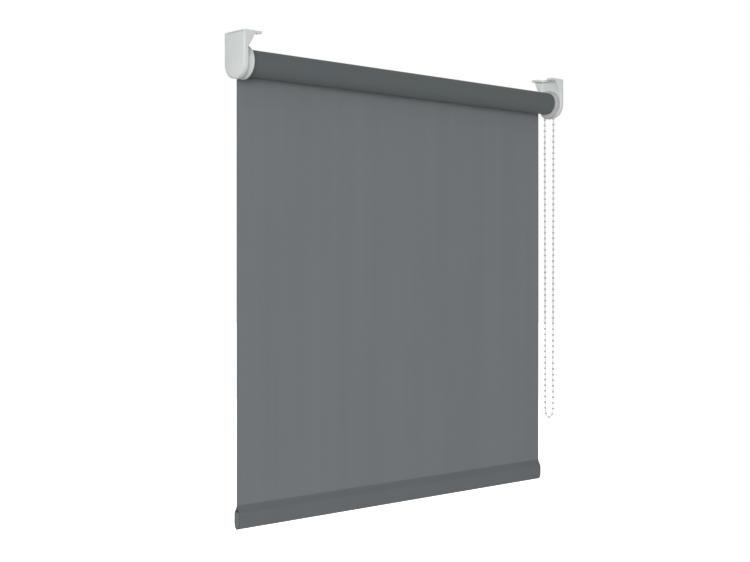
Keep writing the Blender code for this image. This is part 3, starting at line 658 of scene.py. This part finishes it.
# ---------------------------------------------------------------- the brackets
@dataclass
class Bracket:
    """One end bracket: side plate, notched flange, two webs and the cover in its outer face.

    Attributes:
        side: The end that it stands at.
        flange_reach: From the side plate's outer face to the flange's free edge.
        notch_ease: How far the notch's rounded inner corners are drawn in, each way.
        ear_hole: The radius of the screw holes.
        front_web, back_web: A web's reach under the flange, from the outer face, and its drop below it.
        web_setback: How far the webs lie inside the plate's faces, so that no two faces share a plane.
        web_bow: How far a web's edge bows out at its middle.
        web_ease: The radius of the hollow where a web meets the flange.
        pin_hole_share: The radius of the idle pin's hole, as a share of the pin's widest part.
        core_seat: How deep the clutch core sits in the plate.
        boss_half: Half the side of the core's square boss.
    """

    side: Side
    thickness: float = 0.007
    flange_reach: float = 0.0285
    flange_thickness: float = 0.003
    notch_width: float = 0.020
    notch_depth: float = 0.0138
    notch_ease: float = 0.000625
    ear_hole: float = 0.00225
    ear_hole_inset: float = 0.0058
    web_thickness: float = 0.003
    front_web: tuple[float, float] = (0.0178, 0.0178)
    back_web: tuple[float, float] = (0.0207, 0.0230)
    cover_rim: float = 0.0016
    cover_thickness: float = 0.0021
    seam: float = 0.0003
    rim: float = 0.0006
    plate_corner: float = 0.0008
    flange_corner: float = 0.0007
    web_setback: float = 0.0001
    web_bow: float = 0.0004
    web_ease: float = 0.0012
    pin_hole_share: float = 0.4
    core_seat: float = 0.002
    boss_half: float = 0.0048

    def __post_init__(self) -> None:
        """Takes the bracket's outer size and place from its node. The foot is the centre of its half-round
        end, and what is buried in the plate reaches a quarter of its thickness in."""
        low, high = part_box(f"bracket_{self.side.word}")
        self.outer = max(abs(low.x), abs(high.x))
        self.plate = self.outer - self.thickness
        self.buried = self.plate + self.thickness / 4
        self.top = high.z - AXIS[2]
        self.half_depth = (high.y - low.y) / 2
        self.foot = low.z - AXIS[2] + self.half_depth
        self.free_edge = self.outer - self.flange_reach
        self.under = self.top - self.flange_thickness

    def outline(self, depth: float) -> np.ndarray:
        """The side plate's outline moved in by a depth: square above with the corners eased, half round
        below."""
        radius, top = self.half_depth - depth, self.top - depth
        corners = [(radius, 0), (radius, top), (-radius, top), (-radius, 0)]
        eased = np.split(rounded(corners, self.plate_corner), len(corners))
        return np.concatenate([eased[1], eased[2], arc((0, self.foot), radius, 180, 360, 64)])

    def flange(self) -> np.ndarray:
        """The flange's outline from above: its free edge has a notch between two ears, and the notch's
        rounded inner corners are drawn in."""
        half, floor = self.notch_width / 2, self.free_edge + self.notch_depth
        side = self.half_depth - self.web_setback / 2
        front = [(self.buried, side), (self.free_edge, side), (self.free_edge, half), (floor, half)]
        corners = [(out, -y) for out, y in front] + front[::-1]
        eased = rounded(corners, self.flange_corner).reshape(len(corners), -1, 2)
        for number, way in ((3, -1), (4, 1)):
            eased[number] -= (self.notch_ease, way * self.notch_ease)
        return eased.reshape(-1, 2) * (self.side.value, 1)

    def web(self, reach: float, drop: float) -> np.ndarray:
        """A web's outline from the front: from its reach under the flange it narrows to the side plate over
        its drop, along a line that bows out by web_bow * 4 s (1 - s) at share s of the way, and its top is
        eased into the flange by a small hollow."""
        share = np.linspace(0, 1, 17)
        edge = self.outer - reach + (self.plate - self.outer + reach) * share
        edge -= self.web_bow * 4 * share * (1 - share)
        slope = np.stack([edge, self.under - drop * share], axis=1)
        turn = np.linspace(0, np.pi / 2, 5)
        ease, drop_in = self.web_ease * (1 - np.sin(turn)), self.web_ease * (1 - np.cos(turn))
        hollow = np.stack([edge[0] - ease, self.under - drop_in], axis=1)
        slope = np.concatenate([hollow[:-1], slope[slope[:, 1] < self.under - self.web_ease]])
        lip = self.under + self.flange_thickness / 2
        block = [(self.buried, self.under - drop), (self.buried, lip), (slope[0, 0], lip)]
        return np.concatenate([block, slope]) * (self.side.value, 1)

    def body_shapes(self) -> list[Shape]:
        """The flange and the two webs, to be joined to the side plate."""
        back, front = self.half_depth - self.web_setback, self.web_setback - self.half_depth
        return [
            slab(self.flange(), self.under, self.top - self.web_setback / 2, self.rim / 2, axis=2),
            slab(self.web(*self.front_web), front, front + self.web_thickness, self.rim / 2, axis=1),
            slab(self.web(*self.back_web), back - self.web_thickness, back, self.rim / 2, axis=1),
        ]

    def cuts(self) -> list[Shape]:
        """What is cut away: the cover's seat, the ears' screw holes, and the hole for the blind's end."""
        seat, start = self.outer - self.cover_thickness - self.seam, self.plate - CUT_OVER
        made = [slab_at(self.side, self.outline(self.cover_rim), seat, self.outer + CUT_OVER)]
        ear_middle = (self.notch_width / 2 + self.half_depth) / 2
        for y in (-ear_middle, ear_middle):
            centre = (self.side.value * (self.free_edge + self.ear_hole_inset), y)
            hole = circle(centre, self.ear_hole, 32)
            made.append(slab(hole, self.under - CUT_OVER, self.top + CUT_OVER, axis=2))
        if self.side is Side.LEFT:
            low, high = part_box("idle_pin")
            pin_hole = circle((0, 0), (high.z - low.z) * self.pin_hole_share, 32)
            return made + [slab_at(self.side, pin_hole, start, seat + CUT_OVER)]
        low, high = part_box("clutch_core")
        disc = circle((0, 0), (high.z - low.z) / 2 + self.seam, 72)
        half = self.boss_half
        square = np.array([(-half, -half), (half, -half), (half, half), (-half, half)])
        made.append(slab_at(self.side, disc, start, self.plate + self.core_seat))
        return made + [slab_at(self.side, square, start, seat + CUT_OVER)]

    def build(self) -> None:
        """Makes the bracket and its cover."""
        word = self.side.word
        plate = slab_at(self.side, self.outline(0), self.plate, self.outer, self.rim)
        piece = make_object(f"{word}_bracket_moulding", plate)
        combine(piece, self.body_shapes(), "UNION")
        combine(piece, self.cuts(), "DIFFERENCE")
        set_piece(piece, Body.BRACKETS, BRACKET_WHITE, [f"bracket_{word}"])
        near = self.outer - self.cover_thickness
        cap = slab_at(self.side, self.outline(self.cover_rim + self.seam), near, self.outer, self.rim / 2)
        add_piece(f"{word}_bracket_cap", cap, Body.BRACKETS, BRACKET_WHITE, [f"bracket_cover_{word}"])
        LOG.info("%s bracket: %.1f mm deep", word, 2000 * self.half_depth)


# ---------------------------------------------------------------- springs
@dataclass
class Spring:
    """A round-wire spring about the roller's axis, which rides on the roller.

    Attributes:
        name: The piece's name.
        node: The node that it stands for, and takes its length and width from.
        turns: How many turns it has.
        wire: The wire's radius.
        steps: Rings in each turn.
        sides: Points in each ring.
    """

    name: str
    node: str
    turns: int
    wire: float
    steps: int = 28
    sides: int = 8

    def shape(self, low: Sequence[float], high: Sequence[float]) -> Shape:
        """The spring that fills a box from its low to its high corner: a ring of points round each point of
        a helix, set by the radial direction there and the cross product of the helix's own direction with
        it. A face closes each end."""
        share = np.linspace(0, 1, self.turns * self.steps + 1)
        turn = 2 * np.pi * self.turns * share
        radial = np.stack([np.zeros_like(turn), np.cos(turn), np.sin(turn)], axis=1)
        radius, length = (high[2] - low[2]) / 2 - self.wire, high[0] - low[0] - 2 * self.wire
        middle = radius * radial + np.outer(low[0] + self.wire + length * share, (1, 0, 0))
        across = np.cross(unit(np.gradient(middle, axis=0)), radial)
        around = 2 * np.pi * np.arange(self.sides) / self.sides
        ring = radial[:, None] * np.cos(around)[:, None] + across[:, None] * np.sin(around)[:, None]
        points = (middle[:, None] + self.wire * ring).reshape(-1, 3)
        return points, tube_faces(len(share), self.sides)

    def build(self, pressed_by: str | None = None) -> None:
        """Makes the spring, and gives it a mesh of its own when a joint presses it."""
        low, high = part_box(self.node)
        shape = self.shape(low, high)
        piece = add_piece(self.name, shape, Body.ROLLER, SPRING_METAL, [self.node], sharp=60)
        if pressed_by:
            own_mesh(piece)
        LOG.info("%s: %d turns", self.name, self.turns)


# ---------------------------------------------------------------- idle end
@dataclass
class IdleEnd:
    """The guard disc that turns with the roller at the left end."""

    lip_width: float = 0.0015
    body_radius: float = 0.0186
    bore: float = 0.0043
    hub_radius: float = 0.0075
    ring_width: float = 0.0012
    hollow_depth: float = 0.0012
    slope: float = 0.0008
    spigot_radius: float = 0.0100
    fabric_gap: float = 0.0003
    rim: float = 0.0004

    def profile(self) -> np.ndarray:
        """The disc's section: a drum with a shallow hollow in its outer face, a thin lip by the fabric and a
        spigot in the plug."""
        low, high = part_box("idle_guard_disc")
        inner = -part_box("fabric_roll")[0].x + self.fabric_gap
        outer, radius = -low.x, (high.z - low.z) / 2
        hollow = outer - self.hollow_depth
        corners = [
            (outer, self.bore),
            (outer, self.hub_radius),
            (hollow, self.hub_radius + self.slope),
            (hollow, self.body_radius - self.slope - self.ring_width),
            (outer, self.body_radius - self.ring_width),
            (outer, self.body_radius),
            (inner + self.lip_width, self.body_radius),
            (inner + self.lip_width, radius),
            (inner, radius),
            (inner, self.spigot_radius),
            (-high.x, self.spigot_radius),
            (-high.x, self.bore),
        ]
        return rounded(corners, self.rim, 3) * (-1, 1)

    def build(self) -> None:
        """Makes the disc."""
        add_piece("idle_disc", lathe(self.profile()), Body.ROLLER, DISC_WHITE, ["idle_guard_disc"])
        LOG.info("idle disc")


# ---------------------------------------------------------------- chain drive
@dataclass
class ChainGuard:
    """The shell round the chain wheel, narrowing to a nose where the chain hangs out."""

    wall: float = 0.0012
    body_radius: float = 0.0204
    nose_radius: float = 0.0125
    nose_drop: float = 0.0119
    exit_radius: float = 0.0027
    hub_hole: float = 0.0116
    rim: float = 0.0007

    def outline(self, depth: float) -> np.ndarray:
        """The guard along the axis: two arcs joined by their outer tangents, which lean by the arcsine of the
        radii's difference over their centres' distance."""
        lean = math.degrees(math.asin((self.body_radius - self.nose_radius) / self.nose_drop))
        body = arc((0, 0), self.body_radius - depth, -lean, 180 + lean, 72)
        nose = arc((0, -self.nose_drop), self.nose_radius - depth, 180 + lean, 360 - lean, 32)
        return np.concatenate([body, nose])

    def build(self, strand: float, chain_out: float) -> None:
        """Makes the guard, with an exit for each strand of the chain, at the chain's distance out."""
        low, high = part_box("chain_guard")
        guard = make_object("wheel_guard", slab(self.outline(0), low.x, high.x, self.rim))
        inner, hub = low.x + self.wall, circle((0, 0), self.hub_hole, 72)
        cuts = [
            slab(self.outline(self.wall), inner, high.x + CUT_OVER),
            slab(hub, low.x - CUT_OVER, inner + CUT_OVER),
        ]
        for y in (-strand, strand):
            hole = circle((chain_out, y), self.exit_radius, 32)
            foot = -self.nose_drop - self.nose_radius
            cuts.append(slab(hole, foot - CUT_OVER, -self.nose_drop, axis=2))
        combine(guard, cuts, "DIFFERENCE")
        set_piece(guard, Body.BRACKETS, GUARD_SHADED_WHITE, ["chain_guard"])
        LOG.info("chain guard")


@dataclass
class BeadChain:
    """The endless chain: round beads moulded on a thread, over the wheel and down in a narrow loop.

    Attributes:
        pitch: The distance between beads.
        pockets: How many beads the wheel would hold all the way round.
        strand: Each strand's distance from the axis under the wheel.
        loop_strand: The same above the loop's bend.
        bottom: How far below the axis the loop ends.
        end_angle: How far from the wheel's top the two ends of the thread stop.
    """

    pitch: float = 0.00906
    bead_radius: float = 0.00195
    thread_radius: float = 0.0008
    pockets: int = 9
    strand: float = 0.0089
    loop_strand: float = 0.0079
    bottom: float = 0.5010
    end_angle: float = 1.2

    def __post_init__(self) -> None:
        """Takes the chain's distance out from its node."""
        low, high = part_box("bead_chain")
        self.out = (low.x + high.x) / 2
        self.wheel = self.pockets * self.pitch / (2 * math.pi)

    def half_route(self) -> tuple[np.ndarray, list[int]]:
        """One half of the loop, (y, z), from the wheel's top to the loop's bottom, and each stretch's steps:
        round the wheel, off it and straight, down to the bend, and round the bend."""
        turn = np.radians([self.end_angle, 27, 53, 79, 103])
        wheel = self.wheel * np.stack([np.sin(turn), np.cos(turn)], axis=1)
        strand, loop, bottom = self.strand, self.loop_strand, self.bottom
        hanging = [
            (strand + 0.0009, -0.0150),
            (strand + 0.0001, -0.0195),
            (strand, -0.0270),
            (strand, -0.0500),
            (strand - 0.0003, -0.1700),
            (strand - 0.0006, -0.3000),
            (loop + 0.0001, 0.0850 - bottom),
            (loop, 0.0180 - bottom),
            (loop - 0.0008, 0.0068 - bottom),
            (loop - 0.0045, 0.0009 - bottom),
            (0, -bottom),
        ]
        return np.concatenate([wheel, hanging]), [6] * 8 + [12] * 4 + [8] * 3

    def line(self) -> np.ndarray:
        """The whole loop's line, as (out, y, z): the half route and its mirror image, made smooth."""
        half, steps = self.half_route()
        route = np.concatenate([half, half[-2::-1] * (-1, 1)])
        first = [2 * route[0][0] - route[1][0], route[1][1]]
        last = [2 * route[-1][0] - route[-2][0], route[-2][1]]
        flat = smooth_line(np.concatenate([[first], route, [last]]), steps + steps[::-1])
        return np.insert(flat, 0, self.out, axis=1)

    def bead(self) -> Shape:
        """A small round bead: a ball as a grid of turns about the roller's direction, with closed poles."""
        rings, around = 6, 10
        polar = np.pi * (np.arange(1, rings) / rings)
        turn = 2 * np.pi * np.arange(around) / around
        x = np.cos(polar)[:, None] * np.ones(around)
        y, z = np.sin(polar)[:, None] * np.cos(turn), np.sin(polar)[:, None] * np.sin(turn)
        points = np.concatenate([np.stack([x, y, z], axis=-1).reshape(-1, 3), [(1, 0, 0), (-1, 0, 0)]])
        count, first = (rings - 1) * around, np.arange(around)
        after, last = (first + 1) % around, (rings - 2) * around
        faces = quads(rings - 1, around).tolist()
        faces += np.stack([np.full(around, count), after, first], axis=1).tolist()
        faces += np.stack([np.full(around, count + 1), last + first, last + after], axis=1).tolist()
        return points * self.bead_radius, faces

    def beads(self, line: np.ndarray) -> Shape:
        """A bead at each pitch along the line, the first on the wheel's top, as one shape. The pitch is set
        so that a whole number of beads fills the loop with its gap at the top."""
        step = np.linalg.norm(np.diff(line, axis=0), axis=1)
        reach = np.concatenate([[0], np.cumsum(step)])
        spare = math.radians(self.end_angle) * self.wheel
        loop = reach[-1] + 2 * spare
        count = round(loop / self.pitch)
        pitch = loop / count
        at = np.arange(1, count) * pitch - spare
        spots = np.stack([np.interp(at, reach, line[:, k]) for k in range(3)], axis=1)
        spots = np.concatenate([[(self.out, 0, self.wheel)], spots])
        points, faces = self.bead()
        every = (spots[:, None] + points[None]).reshape(-1, 3)
        numbered = [
            [corner + bead * len(points) for corner in face] for bead in range(count) for face in faces
        ]
        LOG.info("bead chain: %d beads, %.2f mm apart", count, 1000 * pitch)
        return every, numbered

    def build(self) -> None:
        line = self.line()
        beads = add_piece("chain_beads", self.beads(line), Body.BRACKETS, BEAD_PLASTIC, sharp=80)
        data = bpy.data.curves.new("chain_thread", "CURVE")
        data.dimensions = "3D"
        data.bevel_depth = self.thread_radius
        data.bevel_resolution = 2
        data.use_fill_caps = True
        spline = data.splines.new("POLY")
        spline.points.add(len(line) - 1)
        placed = np.column_stack([line + AXIS, np.ones(len(line))])
        spline.points.foreach_set("co", placed.ravel())
        thread = link("chain_thread", data)
        set_piece(thread, Body.BRACKETS, THREAD, ["bead_chain"])


# ---------------------------------------------------------------- the cloth
@dataclass
class Blind:
    """The fabric: the wraps on the tube, the drop behind it, and the hem with its weight bar.

    Attributes:
        outer_radius: The roll's radius over the outermost wrap.
        ripple: How far the drop's waves stand off its plane.
        waves: Each wave's share of the height, its radians a metre across, its phase in radians and how
            much that drifts from the roller to the hem.
        slack: The gap between the weight bar and its pocket.
        shoulder: The share of the bar's half height at which the pocket leaves it.
        seam_gap: Half the distance between the pocket's two layers at the seam, in thicknesses.
        leave_pull, seam_pull: How far the curve's control points lie from its ends, in shares of its rise.
        cap_face: How deep the end caps reach into the hem.
        cap_setback: How far their faces lie inside the fabric's edge.
    """

    thickness: float = 0.0004
    outer_radius: float = 0.01734
    wraps: float = 2.25
    ripple: float = 0.0002
    waves: tuple[tuple[float, ...], ...] = ((1.0, 21, 0.7, 0), (0.6, 47, 0, 2.1), (0.35, 83, 1.3, 0))
    bar_height: float = 0.0218
    bar_half: float = 0.0044
    bar_top_power: float = 6.0
    bar_foot_power: float = 2.2
    slack: float = 0.0003
    shoulder: float = 0.82
    seam_gap: float = 0.55
    leave_pull: float = 0.30
    seam_pull: float = 0.34
    cap_face: float = 0.0022
    cap_setback: float = 0.0002
    cap_rim: float = 0.0003

    def __post_init__(self) -> None:
        """Takes the fabric's width and drop from its nodes."""
        low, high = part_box("fabric_drop")
        self.half_width = high.x
        self.middle = self.outer_radius - self.thickness / 2
        self.seam = low.z - AXIS[2]
        hem_low, hem_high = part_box("hem_bar")
        self.bar_middle = (hem_low.z + hem_high.z) / 2 - AXIS[2]

    def outs(self, count: int) -> np.ndarray:
        """Evenly spaced distances across the whole width."""
        return np.linspace(-self.half_width, self.half_width, count)

    def spiral(self) -> np.ndarray:
        """The wraps' line: from behind the axis over the top and inwards, one thickness closer each turn."""
        turn = np.linspace(0, self.wraps * 2 * np.pi, 240)
        radius = self.middle - self.thickness * turn / (2 * np.pi)
        return np.stack([radius * np.cos(turn), radius * np.sin(turn)], axis=1)

    def ripples(self, outs: np.ndarray, heights: np.ndarray) -> np.ndarray:
        """How far the drop stands off its plane: the sum of height * sin(rate * out + phase + drift * s) over
        the waves, at share s of the way down, which fades in below the roller and out above the hem."""
        share = (heights / self.seam)[None]
        fade = np.clip(4 * share * (1 - share), 0, 1) ** 0.5
        waves = sum(
            height * np.sin(rate * outs[:, None] + phase + drift * share)
            for height, rate, phase, drift in self.waves
        )
        return self.ripple * waves * fade

    def build_roll(self) -> bpy.types.Object:
        """Makes the wraps on the tube."""
        shape = thick_sheet(self.spiral(), self.outs(61), self.thickness)
        return add_piece("wound_fabric", shape, Body.ROLLER, REVERSE_CLOTH, ["fabric_roll"])

    def build_drop(self) -> bpy.types.Object:
        """Makes the hanging cloth and gives it a mesh of its own."""
        heights = np.linspace(0, self.seam, 121)
        outs = self.outs(121)
        path = np.stack([np.full_like(heights, self.middle), heights], axis=1)
        shape = thick_sheet(path, outs, self.thickness, self.ripples(outs, heights))
        piece = add_piece("hanging_fabric", shape, Body.BRACKETS, DROP_CLOTH, ["fabric_drop"])
        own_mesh(piece)
        return piece

    def barrel_side(self, grow: float, steps: int) -> np.ndarray:
        """The front side of the hem bar's section, from its foot to its top, about the bar's middle and some
        way outside it: a superellipse whose power is higher above the middle, so that it is square-shouldered
        there and rounder below. With turn t and power p, it is bar_half * cos(t)^(2/p) thick at a height of
        bar_height / 2 * sin(t)^(2/p)."""
        turn = np.linspace(-np.pi / 2, np.pi / 2, steps + 1)
        power = 2 / np.where(turn > 0, self.bar_top_power, self.bar_foot_power)
        y = (self.bar_half + grow) * np.maximum(np.cos(turn), 0) ** power
        z = (self.bar_height / 2 + grow) * np.sign(turn) * np.abs(np.sin(turn)) ** power
        return np.stack([y, z], axis=1)

    def pocket_path(self) -> np.ndarray:
        """The pocket's line: from the seam down the back, round the bar and up the front to the seam. Each
        side leaves the bar at its shoulder and reaches the seam along a curve with two control points, one
        on the way out of the bar and one straight below the seam."""
        side = self.barrel_side(self.slack + self.thickness / 2, 48)
        side = side[side[:, 1] < self.shoulder * self.bar_height / 2]
        leave, top = side[-1], np.array([self.thickness * self.seam_gap, self.seam - self.bar_middle])
        rise, onward = top[1] - leave[1], side[-1] - side[-2]
        out = leave + unit(onward) * rise * self.leave_pull
        below = top - (0, rise * self.seam_pull)
        t = np.linspace(0, 1, 25)[1:, None]
        run = (1 - t) ** 3 * leave + 3 * t * (1 - t) ** 2 * out + 3 * t**2 * (1 - t) * below + t**3 * top
        right = np.concatenate([side[1:], run])
        return np.concatenate([right[::-1] * (-1, 1), side[:1], right]) + (self.middle, self.bar_middle)

    def build_hem(self) -> bpy.types.Object:
        """Makes the pocket and the two end caps of the bar."""
        shape = thick_sheet(self.pocket_path(), self.outs(61), self.thickness)
        pocket = add_piece("hem_sleeve", shape, Body.HEM, HEM_CLOTH, ["hem_pocket"])
        side = self.barrel_side(0, 40)
        outline = np.concatenate([side, side[-2:0:-1] * (-1, 1)]) + (self.middle, self.bar_middle)
        for end in Side:
            near, far = self.half_width - self.cap_face, self.half_width - self.cap_setback
            cap = slab_at(end, outline, near, far, self.cap_rim)
            add_piece(f"{end.word}_hem_plug", cap, Body.HEM, CAP_GREY, [f"hem_cap_{end.word}"])
        return pocket

    def build(self) -> None:
        roll, drop, pocket = self.build_roll(), self.build_drop(), self.build_hem()
        width = 2 * self.half_width
        LOG.info("fabric: %.0f by %.0f mm in its drop", 1000 * width, -1000 * self.seam)


# ---------------------------------------------------------------- carried-over nodes
def dress_frame_nodes() -> None:
    """Gives the frame's own nodes, inside the tube and the brackets, their finishes."""
    finishes = {
        "roller_tube": TUBE_METAL,
        "fabric_spline": SPLINE_PLASTIC,
        "idle_plug": DRIVE_GREY,
        "idle_pin": SPRING_METAL,
        "clutch_core": DRIVE_GREY,
        "chain_wheel": DISC_WHITE,
        "drive_hub": DRIVE_GREY,
        "retaining_clip": SPRING_METAL,
        "hem_bar": BAR_METAL,
    }
    for name, finish in finishes.items():
        paint(frame["nodes"][name], finish)
    LOG.info("%d nodes keep their own shape", len(finishes))


# ---------------------------------------------------------------- studio
@dataclass
class StudioSet:
    """Camera, soft lights and a pale floor.

    Attributes:
        yaw: How far the camera is turned from the window towards the right.
        stand: Where it stands, from the roller's middle.
        lens: Its focal length in millimetres.
        shift: Its upward shift, in shares of the frame's width.
        lights: Each soft light's name, place, width and power in watts.
        aim_height: The height that the lights face.
        seen, given: How bright the surround looks, and how much light it gives.
        floor_drop: How far the floor lies below the fixing edge.
    """

    yaw: float = 42.72
    stand: tuple[float, float, float] = (-1.2872, -1.3148, -0.26545)
    lens: float = 61.36
    shift: float = -0.0147
    lights: tuple[tuple, ...] = (
        ("key", (-4.9, -4.0, -0.6), 3.5, 365),
        ("fill", (-0.4, -4.6, -1.6), 3.0, 55),
        ("back", (1.5, 3.8, 0.8), 3.0, 110),
    )
    aim_height: float = -0.3
    seen: float = 1.0
    given: float = 0.36
    floor_drop: float = 0.95
    floor_radius: float = 14.0

    def add_camera(self) -> None:
        """Adds a level camera in front, to the left of and a little below the roller."""
        data = bpy.data.cameras.new("camera")
        data.lens = self.lens
        data.sensor_width = 36
        data.shift_y = self.shift
        data.clip_end = 100
        camera = link("camera", data)
        camera.location = AXIS + self.stand
        camera.rotation_euler = (math.pi / 2, 0, -math.radians(self.yaw))
        bpy.context.scene.camera = camera

    def add_light(self, name: str, place: Sequence[float], size: float, power: float) -> None:
        """Adds a square soft light that faces the blind's middle."""
        data = bpy.data.lights.new(name, "AREA")
        data.size = size
        data.energy = power
        light = link(name, data)
        light.location = place
        x, y, z = np.array([0, AXIS[1], self.aim_height]) - place
        light.rotation_euler = (math.atan2(math.hypot(x, y), -z), 0, math.atan2(y, x) - math.pi / 2)

    def add_world(self) -> None:
        """Adds a white surround that looks brighter than the light it gives."""
        world = bpy.data.worlds.new("surround")
        world.use_nodes = True
        bpy.context.scene.world = world
        nodes, links = world.node_tree.nodes, world.node_tree.links
        backdrop = nodes["Background"]
        ray = nodes.new("ShaderNodeLightPath")
        strength = nodes.new("ShaderNodeMapRange")
        strength.inputs["To Min"].default_value = self.given
        strength.inputs["To Max"].default_value = self.seen
        links.new(ray.outputs["Is Camera Ray"], strength.inputs["Value"])
        links.new(strength.outputs["Result"], backdrop.inputs["Strength"])
        backdrop.inputs["Color"].default_value = (1, 1, 1, 1)

    def add_floor(self) -> None:
        """Adds the floor, a wide disc below the blind."""
        points = np.insert(circle((0, 0), self.floor_radius, 48), 2, -self.floor_drop, axis=1)
        mesh = bpy.data.meshes.new("floor")
        mesh.from_pydata(points.tolist(), [], [list(range(len(points)))])
        mesh.materials.append(FLOOR_PAINT.material())
        link("floor", mesh)

    def build(self) -> None:
        """Sets up the whole studio."""
        bpy.context.scene.view_settings.view_transform = "Standard"
        self.add_camera()
        self.add_world()
        for light in self.lights:
            self.add_light(*light)
        self.add_floor()
        LOG.info("studio")


def main() -> None:
    """Builds the blind, part by part, in its studio."""
    logging.basicConfig(level=logging.INFO, format="%(message)s")
    StudioSet().build()
    chain = BeadChain()
    chain.build()
    for side in Side:
        Bracket(side).build()
    IdleEnd().build()
    ChainGuard().build(chain.strand, chain.out)
    Spring("pin_spring", "idle_pin_spring", turns=6, wire=0.00045).build(pressed_by="pin_press")
    for number in (1, 2):
        Spring(f"grip_spring_{number}", f"wrap_spring_{number}", turns=5, wire=0.0006).build()
    Blind().build()
    dress_frame_nodes()


if __name__ == "__main__":
    main()
